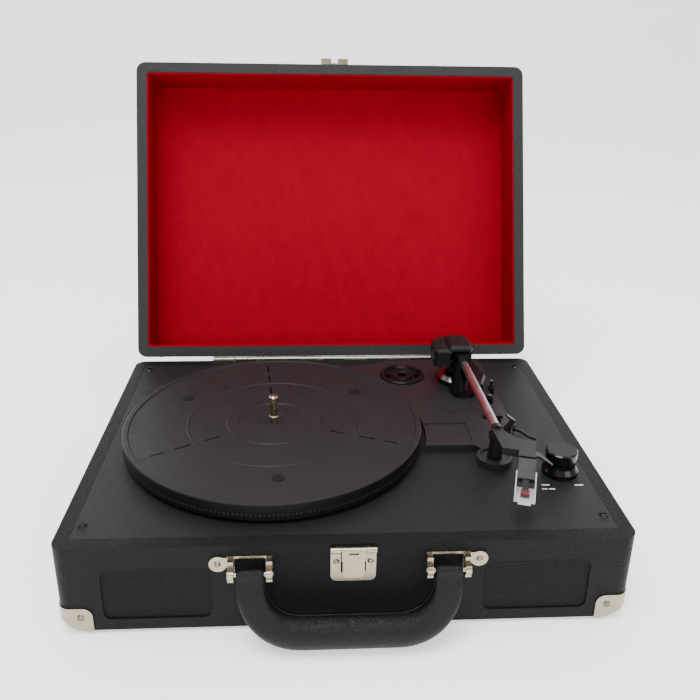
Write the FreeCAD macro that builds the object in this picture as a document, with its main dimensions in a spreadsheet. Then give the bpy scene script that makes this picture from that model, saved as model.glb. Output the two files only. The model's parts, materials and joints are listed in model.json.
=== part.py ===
import FreeCAD, Part
import math
import os
import re
import Sketcher
from FreeCAD import Placement, Rotation, Vector

# A portable suitcase record player, lid open. +X is to the right, +Y to the back, +Z up.
# The origin is the centre of the case's footprint, at table level.
SIZES = {
    # case
    "case_width": 355, "case_depth": 267.4, "case_height": 60.4, "case_corner": 8, "case_wall": 9.2,
    "foot_height": 2.6, "foot_radius": 8, "foot_sink": 1, "foot_x": 150, "foot_y": 105,
    "panel_thick": 4, "panel_gap": 0.2, "block_side": 17, "deck_thick": 3,
    "deck_top": 63, "screw_x": 163.5, "screw_back": 114.8, "screw_front": -110.6,
    "guard_reach": 21, "guard_thick": 0.7, "guard_tall": 17, "guard_flange": 8.6, "guard_ball": 20,
    # speakers and their grilles, mirrored left and right
    "speaker_x": 117.2, "speaker_z": 28.2, "grille_width": 66, "grille_tall": 36, "grille_corner": 5,
    "grille_thick": 1.2, "grille_sink": 0.8,
    # lid, in its own frame: closed, with the origin on the hinge axis
    "hinge_offset": 2.6, "hinge_rise": 0.15, "lid_open": 111.7, "lid_height": 48, "lid_wall": 9,
    "lid_top": 4, "lining_thick": 1.2, "lining_gap": 0.1, "lining_drop": 0.8,
    "hinge_half": 110, "barrel_radius": 1.9, "hinge_pin_radius": 0.95, "hinge_bore": 1.0,
    "leaf_thick": 1.1, "leaf_width": 13, "leaf_clear": 2.3, "knuckle_gap": 0.3,
    # platter and drive
    "platter_x": -49.6, "platter_y": -4, "platter_radius": 109, "platter_rise": 14,
    "spindle_radius": 3.55, "spindle_rise": 34, "neck_radius": 2.8, "journal_radius": 3.0,
    "journal_bore": 3.05, "drive_inner": 80, "drive_outer": 83.2, "motor_x": -122.8, "motor_y": 57.8,
    "motor_radius": 16, "motor_shaft": 1.0, "motor_bore": 1.05, "pulley_radius": 5, "belt_thick": 0.8,
    # mechanism plate
    "plate_thick": 5, "plate_arc": 113, "plate_front": -29.6, "plate_back": 120, "plate_right": 131.4,
    "boss_x": 107.5, "boss_y": -44.8, "boss_radius": 12.6, "adapter_x": 57.2, "adapter_y": 89.3,
    "adapter_radius": 18.8, "adapter_well": 19.3, "speed_x": 123, "speed_y": 41,
    "stop_x": 127.9, "stop_y": 58.6,
    # tonearm
    "arm_x": 103.6, "arm_y": 81.8, "tube_rise": 27.6, "pin_rise": 29.6, "tube_radius": 3.2,
    "tube_front": -45.8, "tube_back": 73.4, "tube_back_x": 104.2, "tube_front_x": 106.7, "column_top": 22.5,
    "head_low": 24, "head_high": 29.4,
    "offset_angle": 16.6, "head_x": 122.4, "head_y": -67.8, "guard_low": 14.8,
    # arm rest clip and cue lever
    "clip_x": 112.8, "clip_rise": 18, "clip_lean": 35, "cue_x": 124.8, "cue_y": -11.8, "cue_rise": 8.6,
    "cue_stem_x": 117, "cue_bar_y": -13.8,
    # volume knob
    "knob_x": 150.4, "knob_y": -59.2, "knob_radius": 10.8, "knob_skirt": 12.5, "knob_tall": 18,
    # rear sockets
    "jack_x": 95, "jack_z": 32, "jack_width": 74, "jack_tall": 28,
    # latch on the front face
    "latch_x": 2.2, "latch_half": 13.8, "latch_low": 36.6, "latch_high": 61.4, "latch_pin_z": 60.4,
    "latch_pin_out": 3.2,
    # handle, in its own frame: hanging straight down from its pins
    "bracket_x": 59.9, "handle_pin_z": 47.4, "handle_pin_out": 6.8, "handle_tilt": 15.5,
    "handle_drop": 36.6, "grip_radius": 11, "handle_pin_radius": 1.5, "handle_bore": 1.56,
}

doc = FreeCAD.newDocument("suitcase_turntable")
sheet = doc.addObject("Spreadsheet::Sheet", "Dims")
for row, (alias, number) in enumerate(SIZES.items(), 1):
    sheet.set(f"A{row}", alias)
    sheet.set(f"B{row}", str(number))
    sheet.setAlias(f"B{row}", alias)
doc.recompute()

parts = {}
MIRROR_X = Vector(1, 0, 0)
MIRROR_Y = Vector(0, 1, 0)


def linked(text):
    """A sheet expression from words and numbers, such as case_width / 2."""
    return re.sub(r"[a-z_]\w+", lambda word: f"Dims.{word[0]}" if word[0] in SIZES else word[0], str(text))


def size(text):
    """The number that such an expression comes to."""
    found = sheet.evalExpression(linked(text))
    return float(getattr(found, "Value", found))


def keep(label, obj):
    """Names a finished sub-part, so that it is written as a file of its own."""
    obj.Label = label
    parts[label] = obj
    return obj


def put(obj, x=0, y=0, z=0, turn=None):
    if turn:
        obj.Placement = Placement(Vector(), turn)
    for axis, text in zip("xyz", (x, y, z)):
        obj.setExpression(f"Placement.Base.{axis}", linked(text))
    return obj


# ---- plain solids and booleans ----

def block(x_low, x_high, y_low, y_high, z_low, z_high):
    box = doc.addObject("Part::Box", "Block")
    box.setExpression("Length", linked(f"({x_high}) - ({x_low})"))
    box.setExpression("Width", linked(f"({y_high}) - ({y_low})"))
    box.setExpression("Height", linked(f"({z_high}) - ({z_low})"))
    return put(box, x_low, y_low, z_low)


ALONG = {"X": Rotation(Vector(0, 1, 0), 90), "Y": Rotation(Vector(1, 0, 0), -90), "Z": None}


def rod(radius, length, x, y, z, along="Z"):
    cylinder = doc.addObject("Part::Cylinder", "Rod")
    cylinder.setExpression("Radius", linked(radius))
    cylinder.setExpression("Height", linked(length))
    return put(cylinder, x, y, z, ALONG[along])


def cone(low_radius, high_radius, length, x, y, z, along="Z"):
    solid = doc.addObject("Part::Cone", "Cone")
    solid.setExpression("Radius1", linked(low_radius))
    solid.setExpression("Radius2", linked(high_radius))
    solid.setExpression("Height", linked(length))
    return put(solid, x, y, z, ALONG[along])


def ball(radius, x, y, z):
    solid = doc.addObject("Part::Sphere", "Ball")
    solid.setExpression("Radius", linked(radius))
    return put(solid, x, y, z)


def rod_between(radius, start, end):
    """A round bar between two points."""
    line = Vector(*end) - Vector(*start)
    bar = doc.addObject("Part::Cylinder", "Bar")
    bar.setExpression("Radius", linked(radius))
    bar.Height = line.Length
    bar.Placement = Placement(Vector(*start), Rotation(Vector(0, 0, 1), line))
    return bar


def fuse(*solids):
    if len(solids) == 1:
        return solids[0]
    joined = doc.addObject("Part::MultiFuse", "Fuse")
    joined.Shapes = list(solids)
    joined.Refine = True
    return joined


def cut(base, *tools):
    less = doc.addObject("Part::Cut", "Cut")
    less.Base = base
    less.Tool = fuse(*tools)
    less.Refine = True
    return less


def common(first, second):
    shared = doc.addObject("Part::MultiCommon", "Common")
    shared.Shapes = [first, second]
    return shared


def group(*solids):
    several = doc.addObject("Part::Compound", "Group")
    several.Links = list(solids)
    return several


def mirrored(source, normal):
    other = doc.addObject("Part::Mirroring", "Mirror")
    other.Source = source
    other.Normal = normal
    return other


def screws(places, along, out, head=2.6, shank=1.2, length=7):
    """Identical screws: a low head on the surface, a shank into it; out is +1 or -1 along the axis."""
    solids = []
    turn = {"X": Vector(0, 1, 0), "Y": Vector(1, 0, 0), "Z": Vector(1, 0, 0)}[along]
    angle = {("X", 1): 90, ("X", -1): -90, ("Y", 1): -90, ("Y", -1): 90, ("Z", 1): 0,
             ("Z", -1): 180}[along, out]
    for x, y, z in places:
        screw = doc.addObject("Part::Feature", "Screw")
        dome = Part.makeCone(head, head * 0.62, head * 0.42)
        slot = Part.makeBox(head * 1.3, head * 0.28, head * 0.3,
                            Vector(-head * 0.65, -head * 0.14, head * 0.25))
        cross = slot.copy()
        cross.rotate(Vector(), Vector(0, 0, 1), 90)
        stem = Part.makeCylinder(shank, length, Vector(0, 0, -length))
        screw.Shape = dome.fuse(stem).cut(slot.fuse(cross)).removeSplitter()
        screw.Placement = Placement(Vector(size(x), size(y), size(z)), Rotation(turn, angle))
        solids.append(screw)
    return solids


# ---- bodies with sketches ----

def new_body(name):
    return doc.addObject("PartDesign::Body", name)


def sketch_on(body, role, offset=0):
    sketch = body.newObject("Sketcher::SketchObject", "Sketch")
    plane = next(item for item in body.Origin.OriginFeatures if item.Role == role)
    sketch.AttachmentSupport = [(plane, "")]
    sketch.MapMode = "FlatFace"
    sketch.setExpression("AttachmentOffset.Base.z", linked(offset))
    return sketch


def dimension(sketch, kind, text, *where):
    number = sketch.addConstraint(Sketcher.Constraint(kind, *where, size(text)))
    sketch.setExpression(f"Constraints[{number}]", linked(text))


def polygon(sketch, points):
    """A closed outline of straight edges, each corner tied to the sheet."""
    first, count = sketch.GeometryCount, len(points)
    corners = [Vector(size(x), size(y), 0) for x, y in points]
    for number, corner in enumerate(corners):
        sketch.addGeometry(Part.LineSegment(corner, corners[(number + 1) % count]))
    for number, (x, y) in enumerate(points):
        line, after = first + number, first + (number + 1) % count
        sketch.addConstraint(Sketcher.Constraint("Coincident", line, 2, after, 1))
        dimension(sketch, "DistanceX", x, -1, 1, line, 1)
        dimension(sketch, "DistanceY", y, -1, 1, line, 1)


def circle(sketch, x, y, radius):
    number = sketch.addGeometry(Part.Circle(Vector(size(x), size(y), 0), Vector(0, 0, 1), size(radius)))
    dimension(sketch, "DistanceX", x, -1, 1, number, 3)
    dimension(sketch, "DistanceY", y, -1, 1, number, 3)
    dimension(sketch, "Radius", radius, number)


def rounded(sketch, x_low, x_high, y_low, y_high, radius):
    """A rectangle with rounded corners, each side tied to the sheet."""
    left, right, low, high, bend = (size(text) for text in (x_low, x_high, y_low, y_high, radius))
    first = sketch.GeometryCount
    centres = [(x, y) for x, y in ((right - bend, low + bend), (right - bend, high - bend),
                                   (left + bend, high - bend), (left + bend, low + bend))]
    ends = [(left + bend, low), (right, low + bend), (right - bend, high), (left, high - bend)]
    starts = [(right - bend, low), (right, high - bend), (left + bend, high), (left, low + bend)]
    for number, (centre, begin, end) in enumerate(zip(centres, ends, starts)):
        sketch.addGeometry(Part.LineSegment(Vector(*begin, 0), Vector(*end, 0)))
        arc = Part.Circle(Vector(*centre, 0), Vector(0, 0, 1), bend)
        angle = math.radians(90 * number - 90)
        sketch.addGeometry(Part.ArcOfCircle(arc, angle, angle + math.pi / 2))
    for number in range(8):
        sketch.addConstraint(Sketcher.Constraint("Tangent", first + number, 2, first + (number + 1) % 8, 1))
    for number in (3, 5, 7):
        sketch.addConstraint(Sketcher.Constraint("Equal", first + 1, first + number))
    for number, kind in ((0, "Horizontal"), (2, "Vertical"), (4, "Horizontal"), (6, "Vertical")):
        sketch.addConstraint(Sketcher.Constraint(kind, first + number))
    dimension(sketch, "Radius", radius, first + 1)
    dimension(sketch, "DistanceY", y_low, -1, 1, first, 1)
    dimension(sketch, "DistanceX", x_high, -1, 1, first + 2, 1)
    dimension(sketch, "DistanceY", y_high, -1, 1, first + 4, 1)
    dimension(sketch, "DistanceX", x_low, -1, 1, first + 6, 1)


def pad(body, sketch, length, backwards=False):
    feature = body.newObject("PartDesign::Pad", "Pad")
    feature.Profile = sketch
    feature.setExpression("Length", linked(length))
    feature.Reversed = backwards
    return feature


def pocket(body, sketch, length, backwards=False):
    """Cuts away from the sketch's normal, or along it when backwards."""
    feature = body.newObject("PartDesign::Pocket", "Pocket")
    feature.Profile = sketch
    feature.setExpression("Length", linked(length))
    feature.Reversed = backwards
    return feature


def turned(name, x, y, z, points):
    """A body turned about its upright axis from a half profile of (radius, height) points."""
    body = new_body(name)
    sketch = sketch_on(body, "XZ_Plane")
    polygon(sketch, points)
    feature = body.newObject("PartDesign::Revolution", "Revolution")
    feature.Profile = sketch
    feature.ReferenceAxis = (sketch, ["V_Axis"])
    return put(body, x, y, z)


def extruded(name, points, low, high, role="XY_Plane"):
    """A body of straight-sided outline between two levels of a plane's normal."""
    body = new_body(name)
    sketch = sketch_on(body, role, low)
    polygon(sketch, points)
    pad(body, sketch, f"({high}) - ({low})")
    return body


def chamfer_top(body, amount):
    """Bevels the edges of a body's highest face."""
    doc.recompute()
    last, faces = body.Tip, body.Shape.Faces
    top = max(range(len(faces)), key=lambda number: faces[number].CenterOfMass.z)
    bevel = body.newObject("PartDesign::Chamfer", "Chamfer")
    bevel.Base = (last, [f"Face{top + 1}"])
    bevel.Size = amount


# ---- case ----

def case_shell():
    body = new_body("case_shell")
    outline = sketch_on(body, "XY_Plane", "foot_height")
    rounded(outline, "-case_width / 2", "case_width / 2", "-case_depth / 2", "case_depth / 2",
            "case_corner")
    pad(body, outline, "case_height")
    inside = sketch_on(body, "XY_Plane", "deck_top")
    rounded(inside, "-case_width / 2 + case_wall", "case_width / 2 - case_wall",
            "-case_depth / 2 + case_wall", "case_depth / 2 - case_wall", 1)
    pocket(body, inside, "case_height")
    corners = sketch_on(body, "XY_Plane", "foot_height + panel_thick")
    for side in (-1, 1):
        for end in (-1, 1):
            outer_x = f"{side} * (case_width / 2 - case_wall / 2)"
            inner_x = f"{side} * (case_width / 2 - case_wall - block_side)"
            outer_y = f"{end} * (case_depth / 2 - case_wall / 2)"
            inner_y = f"{end} * (case_depth / 2 - case_wall - block_side)"
            polygon(corners, [(outer_x, outer_y), (inner_x, outer_y), (inner_x, inner_y),
                              (outer_x, inner_y)])
    pad(body, corners, "case_height - panel_thick - deck_thick")
    for grow, start in ((0.2, "case_depth / 2 - grille_sink - grille_thick"), (-3, 0)):
        speakers = sketch_on(body, "XZ_Plane", start)
        for side in (-1, 1):
            middle = f"{side} * speaker_x"
            rounded(speakers, f"{middle} - grille_width / 2 - ({grow})",
                    f"{middle} + grille_width / 2 + ({grow})",
                    f"speaker_z - grille_tall / 2 - ({grow})", f"speaker_z + grille_tall / 2 + ({grow})",
                    f"grille_corner + ({grow})")
        pocket(body, speakers, "case_depth", True)
    sockets = sketch_on(body, "XZ_Plane")
    rounded(sockets, "jack_x - jack_width / 2 + 4", "jack_x + jack_width / 2 - 4",
            "jack_z - jack_tall / 2 + 4", "jack_z + jack_tall / 2 - 4", 2)
    pocket(body, sockets, "case_depth")
    return keep("case_shell", cut(body, *corner_cutters("foot_height", True)))


def bottom_panel():
    body = new_body("bottom_panel")
    outline = sketch_on(body, "XY_Plane", "foot_height")
    inset = "case_wall - panel_gap"
    rounded(outline, f"-case_width / 2 + {inset} + 0.4", f"case_width / 2 - ({inset}) - 0.4",
            f"-case_depth / 2 + {inset} + 0.4", f"case_depth / 2 - ({inset}) - 0.4", 1.2)
    pad(body, outline, "panel_thick")
    seats = sketch_on(body, "XY_Plane", "foot_height")
    for side in (-1, 1):
        for end in (-1, 1):
            circle(seats, f"{side} * foot_x", f"{end} * foot_y", "foot_radius + 0.2")
            circle(seats, f"{side} * (screw_x - 3)", f"{end} * (screw_back - 3)", 3.2)
    pocket(body, seats, "foot_sink", True)
    return keep("bottom_panel", body)


def rubber_feet():
    feet = [rod("foot_radius", "foot_height + foot_sink", f"{side} * foot_x", f"{end} * foot_y", 0)
            for side in (-1, 1) for end in (-1, 1)]
    return keep("rubber_feet", group(*feet))


def switch_slots(sketch):
    for name in ("speed", "stop"):
        rounded(sketch, f"{name}_x - 1.5", f"{name}_x + 1.5", f"{name}_y - 7.2", f"{name}_y + 7.2", 1.2)


def deck_panel():
    body = new_body("deck_panel")
    outline = sketch_on(body, "XY_Plane", "deck_top - deck_thick")
    rounded(outline, "-case_width / 2 + case_wall + 0.2", "case_width / 2 - case_wall - 0.2",
            "-case_depth / 2 + case_wall + 0.2", "case_depth / 2 - case_wall - 0.2", 1.2)
    pad(body, outline, "deck_thick")
    holes = sketch_on(body, "XY_Plane", "deck_top")
    circle(holes, "platter_x", "platter_y", 8.3)
    circle(holes, "motor_x", "motor_y", 7)
    circle(holes, "knob_x", "knob_y", 4.3)
    switch_slots(holes)
    pocket(body, holes, "deck_thick + 1")
    return keep("deck_panel", body)


def panel_screws():
    deck = screws([(f"{side} * screw_x", end, "deck_top")
                   for side in (-1, 1) for end in ("screw_back", "screw_front")], "Z", 1, head=3)
    base = screws([(f"{side} * (screw_x - 3)", f"{end} * (screw_back - 3)", "foot_height + foot_sink")
                   for side in (-1, 1) for end in (-1, 1)], "Z", -1, head=2.4)
    return keep("panel_screws", group(*deck, *base))


def four_corners(first):
    """A piece drawn at the case's front left corner, and its mirror images at the other three."""
    second = mirrored(first, MIRROR_X)
    return [first, second, mirrored(first, MIRROR_Y), mirrored(second, MIRROR_Y)]


def corner_ball(grow, upward):
    """The sphere that rounds off a box's corner at (0, 0, 0), where its three edges fade into it."""
    return ball(f"(guard_ball + {grow}) * sqrt(2)", "guard_ball", "guard_ball",
                "guard_ball" if upward else "-guard_ball")


def corner_cutters(z, upward):
    low, high = (-2, "guard_ball") if upward else ("-guard_ball", 2)
    cutter = cut(block(-2, "guard_ball", -2, "guard_ball", low, high), corner_ball(0, upward))
    return four_corners(put(cutter, "-case_width / 2", "-case_depth / 2", z))


def box_corner(grow, upward):
    """A box's corner with a rounded upright edge and a rounded tip, grown outward."""
    low, high = (f"-({grow})", 30) if upward else (-30, grow)
    post = rod(f"case_corner + {grow}", f"({high}) - ({low})", "case_corner", "case_corner", low)
    prism = fuse(post, block("case_corner", 30, f"-({grow})", 30, low, high),
                 block(f"-({grow})", "case_corner", "case_corner", 30, low, high))
    return common(prism, corner_ball(grow, upward))


def corner_guard(z, upward):
    """A metal cap over a corner, with rounded ends on both walls and a flange on the third side."""
    low, high = (-5, "guard_tall") if upward else ("-guard_tall", 5)
    ends = []
    for role, offset, backwards in (("XZ_Plane", 2, True), ("YZ_Plane", -2, False)):
        body = new_body("guard_outline")
        sketch = sketch_on(body, role, offset)
        rounded(sketch, -5, "guard_reach", low, high, 6)
        pad(body, sketch, "guard_flange + 2", backwards)
        ends.append(body)
    cap = common(cut(box_corner("guard_thick", upward), box_corner(0, upward)), fuse(*ends))
    return put(cap, "-case_width / 2", "-case_depth / 2", z)


def base_corner_guards():
    return keep("base_corner_guards", group(*four_corners(corner_guard("foot_height", True))))


def base_screws():
    front, back = "-case_depth / 2 - guard_thick", "case_depth / 2 + guard_thick"
    rise = "foot_height + guard_tall * 0.6"
    corner = "(case_width / 2 - guard_reach * 0.66)"
    face = [(f"{side} * {corner}", front, rise) for side in (-1, 1)]
    rear = [(f"{side} * {corner}", back, rise) for side in (-1, 1)]
    leaf = [(f"{place} * hinge_half / 5", "case_depth / 2 + leaf_thick", "deck_top + hinge_rise - 9")
            for place in (-4.5, -1.5, 1.5, 4.5)]
    latch = [(f"latch_x + {side} * 10.4", "-case_depth / 2 - 1.2", "latch_low + 14.4") for side in (-1, 1)]
    plate = [(f"jack_x + {side} * (jack_width / 2 - 2.5)", "case_depth / 2 + 1.5",
              "jack_z") for side in (-1, 1)]
    ears = [(f"{side} * (bracket_x + 19.4)", "-case_depth / 2 - 1.2",
             "handle_pin_z + 3.6") for side in (-1, 1)]
    return keep("base_screws", group(*screws(face, "Y", -1), *screws(rear, "Y", 1),
                                     *screws(leaf, "Y", 1, head=2.2),
                                     *screws(latch, "Y", -1, head=2), *screws(plate, "Y", 1, head=2),
                                     *screws(ears, "Y", -1, head=2.2)))


# ---- speakers ----

def grille(label, side):
    body = new_body(label)
    sketch = sketch_on(body, "XZ_Plane", "case_depth / 2 - grille_sink - grille_thick")
    rounded(sketch, "-grille_width / 2", "grille_width / 2", "-grille_tall / 2", "grille_tall / 2",
            "grille_corner")
    pad(body, sketch, "grille_thick")
    return keep(label, put(body, f"{side} * speaker_x", 0, "speaker_z"))


def speaker(side):
    """A driver that points forward: frame plate, cone basket and magnet."""
    x, back = f"{side} * speaker_x", "-case_depth / 2 + case_wall"
    frame = block(f"{x} - 33", f"{x} + 33", back, f"{back} + 2", "speaker_z - 19", "speaker_z + 19")
    mouth = rod(16, 4, x, f"{back} - 1", "speaker_z", "Y")
    basket = cut(cone(18, 13, 14, x, f"{back} + 2", "speaker_z", "Y"),
                 cone(16, 11, 12, x, f"{back} + 1.9", "speaker_z", "Y"))
    magnet = rod(15, 9, x, f"{back} + 15", "speaker_z", "Y")
    return fuse(cut(frame, mouth), basket, magnet)


# ---- platter and drive ----

def platter():
    body = turned("platter", "platter_x", "platter_y", "deck_top", [
        ("spindle_radius", 4.2), (12, 4.2), (12, 10.6), ("drive_inner", 10.6), ("drive_inner", 4.4),
        ("drive_outer", 4.4), ("drive_outer", 10.6), ("platter_radius - 3.4", 10.6),
        ("platter_radius - 3.4", 2.6), ("platter_radius", 2.6), ("platter_radius", "platter_rise - 0.6"),
        ("platter_radius - 0.6", "platter_rise"), ("platter_radius - 3.8", "platter_rise"),
        ("platter_radius - 4.4", "platter_rise - 0.8"), (63.9, "platter_rise - 0.8"),
        (63.4, "platter_rise - 0.4"),
        (62.4, "platter_rise - 0.4"), (61.9, "platter_rise - 0.8"), (35.3, "platter_rise - 0.8"),
        (34.6, "platter_rise - 0.2"), (26.5, "platter_rise - 0.2"), (25.8, "platter_rise - 0.8"),
        (12.3, "platter_rise - 0.8"), (11.5, "platter_rise - 1.6"),
        ("spindle_radius", "platter_rise - 1.6")])
    slots = sketch_on(body, "XY_Plane", "platter_rise")
    for angle in (-149.5, -22, 95):
        for near, far in ((44.5, 56), (66.8, 78.4), (85.6, 95.6)):
            across, along = (-math.sin(math.radians(angle)), math.cos(math.radians(angle))), \
                            (math.cos(math.radians(angle)), math.sin(math.radians(angle)))
            polygon(slots, [(f"{along[0] * reach + across[0] * side}",
                             f"{along[1] * reach + across[1] * side}")
                            for reach, side in ((near, -0.6), (far, -0.6), (far, 0.6), (near, 0.6))])
    pocket(body, slots, 3.5)
    return keep("platter", body)


def platter_pads():
    pads = []
    for angle in (36, 151, 274):
        x = f"platter_x + 78 * cos({angle})"
        y = f"platter_y + 78 * sin({angle})"
        pads.append(cut(rod(4, 0.5, x, y, "deck_top + platter_rise - 0.8"),
                        rod(0.9, 1, x, y, "deck_top + platter_rise - 0.6")))
    return keep("platter_pads", group(*pads))


def spindle():
    body = turned("spindle", "platter_x", "platter_y", "deck_top", [
        (0, -26.8), ("journal_radius", -26.8), ("journal_radius", 4.2), ("spindle_radius", 4.2),
        ("spindle_radius", 17.4), ("neck_radius", 17.8), ("neck_radius", "spindle_rise - 5"),
        ("spindle_radius", "spindle_rise - 4.4"), ("spindle_radius", "spindle_rise - 1.2"),
        ("spindle_radius - 1.2", "spindle_rise"), (0, "spindle_rise")])
    return keep("spindle", body)


def bearing_housing():
    body = turned("bearing_housing", "platter_x", "platter_y", "deck_top", [
        (0, -30), (8, -30), (8, -6), (14, -6), (14, "-deck_thick"), (8, "-deck_thick"), (8, 2),
        ("journal_bore", 2), ("journal_bore", -27), (0, -27)])
    return keep("bearing_housing", body)


def motor():
    can = rod("motor_radius", 24, "motor_x", "motor_y", "deck_top - deck_thick - 24")
    return keep("motor", cut(can, rod("motor_bore", 14, "motor_x", "motor_y",
                                      "deck_top - deck_thick - 13")))


def motor_pulley():
    body = turned("motor_pulley", "motor_x", "motor_y", "deck_top", [
        (0, -15.5), ("motor_shaft", -15.5), ("motor_shaft", 3.4), ("pulley_radius + 0.8", 3.4),
        ("pulley_radius + 0.8", 4.4), ("pulley_radius", 4.7), ("pulley_radius", 9.3),
        ("pulley_radius + 0.8", 9.6), ("pulley_radius + 0.8", 10.2), (0, 10.2)])
    return keep("motor_pulley", body)


def belt_face(grow):
    """The stretched outline round the drive ring and the pulley, as a flat face."""
    big, small = size("drive_outer") + grow, size("pulley_radius") + grow
    start = Vector(size("platter_x"), size("platter_y"), 0)
    end = Vector(size("motor_x"), size("motor_y"), 0)
    line = end - start
    middle = math.atan2(line.y, line.x)
    lean = math.acos((big - small) / line.Length)

    def at(centre, radius, angle):
        return centre + Vector(radius * math.cos(angle), radius * math.sin(angle), 0)

    upper, lower = middle + lean, middle - lean
    edges = [Part.LineSegment(at(start, big, upper), at(end, small, upper)).toShape(),
             Part.Arc(at(end, small, upper), at(end, small, middle), at(end, small, lower)).toShape(),
             Part.LineSegment(at(end, small, lower), at(start, big, lower)).toShape(),
             Part.Arc(at(start, big, lower), at(start, big, middle + math.pi),
                      at(start, big, upper)).toShape()]
    return Part.Face(Part.Wire(edges))


def drive_belt():
    belt = doc.addObject("Part::Feature", "drive_belt")
    gap = 0.05
    ring = belt_face(gap + size("belt_thick")).cut(belt_face(gap))
    belt.Shape = ring.extrude(Vector(0, 0, 4))
    belt.Placement = Placement(Vector(0, 0, size("deck_top") + 5), Rotation())
    return keep("drive_belt", belt)


# ---- mechanism plate ----

def mechanism_plate():
    body = new_body("mechanism_plate")
    sketch = sketch_on(body, "XY_Plane", "deck_top")
    centre = Vector(size("platter_x"), size("platter_y"), 0)
    arc, front = size("plate_arc"), size("plate_front")
    right, back = size("plate_right"), size("plate_back")
    low = math.asin((front - centre.y) / arc)
    high = math.radians(66)
    start = centre + Vector(arc * math.cos(low), front - centre.y, 0)
    end = centre + Vector(arc * math.cos(high), arc * math.sin(high), 0)
    sketch.addGeometry(Part.ArcOfCircle(Part.Circle(centre, Vector(0, 0, 1), arc), low, high))
    corners = [end, Vector(43, back - 2.5, 0), Vector(52, back, 0), Vector(right - 6, back, 0),
               Vector(right, back - 6, 0), Vector(right, -15, 0), Vector(size("boss_x") + 12, -38, 0),
               Vector(size("boss_x"), -43, 0), Vector(size("boss_x") - 11.5, front, 0), start]
    for one, two in zip(corners, corners[1:]):
        sketch.addGeometry(Part.LineSegment(one, two))
    pad(body, sketch, "plate_thick")
    boss = sketch_on(body, "XY_Plane", "deck_top")
    circle(boss, "boss_x", "boss_y", "boss_radius")
    pad(body, boss, "plate_thick")
    dish = sketch_on(body, "XY_Plane", "deck_top + plate_thick")
    circle(dish, "boss_x", "boss_y", "boss_radius - 2.2")
    pocket(body, dish, 1)
    band = sketch_on(body, "XY_Plane", "deck_top + plate_thick")
    polygon(band, [(50, -24.5), (96, -24.5), (96, 3), (50, 3)])
    pocket(body, band, 0.6)
    holes = sketch_on(body, "XY_Plane", "deck_top + plate_thick")
    circle(holes, "adapter_x", "adapter_y", "adapter_well")
    circle(holes, "cue_stem_x", "cue_bar_y", 1.58)
    switch_slots(holes)
    pocket(body, holes, "plate_thick")
    post = rod(2.6, 6.4, "cue_x", "cue_y", "deck_top + plate_thick - 0.5")
    pin = rod(1, 6, "cue_x", "cue_y", "deck_top + cue_rise", "X")
    return keep("mechanism_plate", fuse(body, post, pin))


def adapter_45():
    body = turned("adapter_45", "adapter_x", "adapter_y", "deck_top", [
        (3.7, 0), ("adapter_radius", 0), ("adapter_radius", 6), ("adapter_radius - 0.6", 6.6),
        ("adapter_radius - 2.6", 6.6), ("adapter_radius - 3.4", 4.2), (9.2, 4.2), (8.6, 6), (5.6, 6),
        (5, 5.2), (3.7, 5.2)])
    windows = sketch_on(body, "XY_Plane", 7)
    for side in (-1, 1):
        polygon(windows, [(f"{side} * 10", -3.4), (f"{side} * 14.4", -3.4), (f"{side} * 14.4", 3.4),
                          (f"{side} * 10", 3.4)])
    pocket(body, windows, 8)
    return keep("adapter_45", body)


def lift_housing():
    body = extruded("lift_housing", [
        (f"arm_x + {x}", f"arm_y + {y}") for x, y in ((9.6, 13), (18, 13), (21.2, -14), (15.4, -30.5),
                                                (9.6, -30.5))],
                    "deck_top + plate_thick", "deck_top + plate_thick + 10")
    chamfer_top(body, 1.6)
    return keep("lift_housing", body)


def switch_block():
    return keep("switch_block", block("speed_x - 7", "stop_x + 7", "speed_y - 12", "stop_y + 12",
                                      "deck_top - deck_thick - 12", "deck_top - deck_thick"))


def slide_switch(name, rise):
    """A thumb piece on a stem that runs in a slot, with a small lever on top."""
    x, y = f"{name}_x", f"{name}_y"
    stem = block(f"{x} - 1.2", f"{x} + 1.2", f"{y} - 2.6", f"{y} + 2.6", "deck_top - deck_thick + 0.3",
                 "deck_top + 7.6")
    cap = block(f"{x} - 2", f"{x} + 2", f"{y} - 3", f"{y} + 3", "deck_top + plate_thick + 0.4",
                "deck_top + 8")
    lever = block(f"{x} - 1", f"{x} + 1", f"{y} - 1", f"{y} + 1", "deck_top + 7.5", f"deck_top + {rise}")
    return keep(f"{name}_switch", fuse(stem, cap, lever))


# ---- tonearm ----

def lift_notch():
    """The room that the lift housing takes out of the round base beside it."""
    return block("arm_x + 9.5", "arm_x + 24", "arm_y - 30.6", "arm_y + 13.2", "deck_top + plate_thick - 1",
                 "deck_top + plate_thick + 11")


def tonearm_base():
    level = "deck_top + plate_thick"
    disc = rod(17.4, 4, "arm_x", "arm_y - 2", level)
    lobe = rod(11.2, 4, "arm_x", "arm_y - 27", level)
    web = block("arm_x - 11.2", "arm_x + 11.2", "arm_y - 27", "arm_y - 2", level, f"{level} + 4")
    column = rod(9.4, "column_top - plate_thick - 4", "arm_x", "arm_y", f"{level} + 4")
    bore = rod(3.05, "column_top", "arm_x", "arm_y", f"{level} + 1")
    return keep("tonearm_base", cut(fuse(cut(fuse(disc, lobe, web), lift_notch()), column), bore))


def pivot_ring():
    """A bright crescent on the left of the round base."""
    level = "deck_top + plate_thick + 4"
    return keep("pivot_ring", cut(cone(16.8, 13.8, 3, "arm_x", "arm_y - 2", level),
                                  rod(11.6, 5, "arm_x", "arm_y - 2", f"{level} - 1"),
                                  block("arm_x - 8", "arm_x + 20", "arm_y - 24", "arm_y + 20",
                                        f"{level} - 1", f"{level} + 4")))


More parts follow.
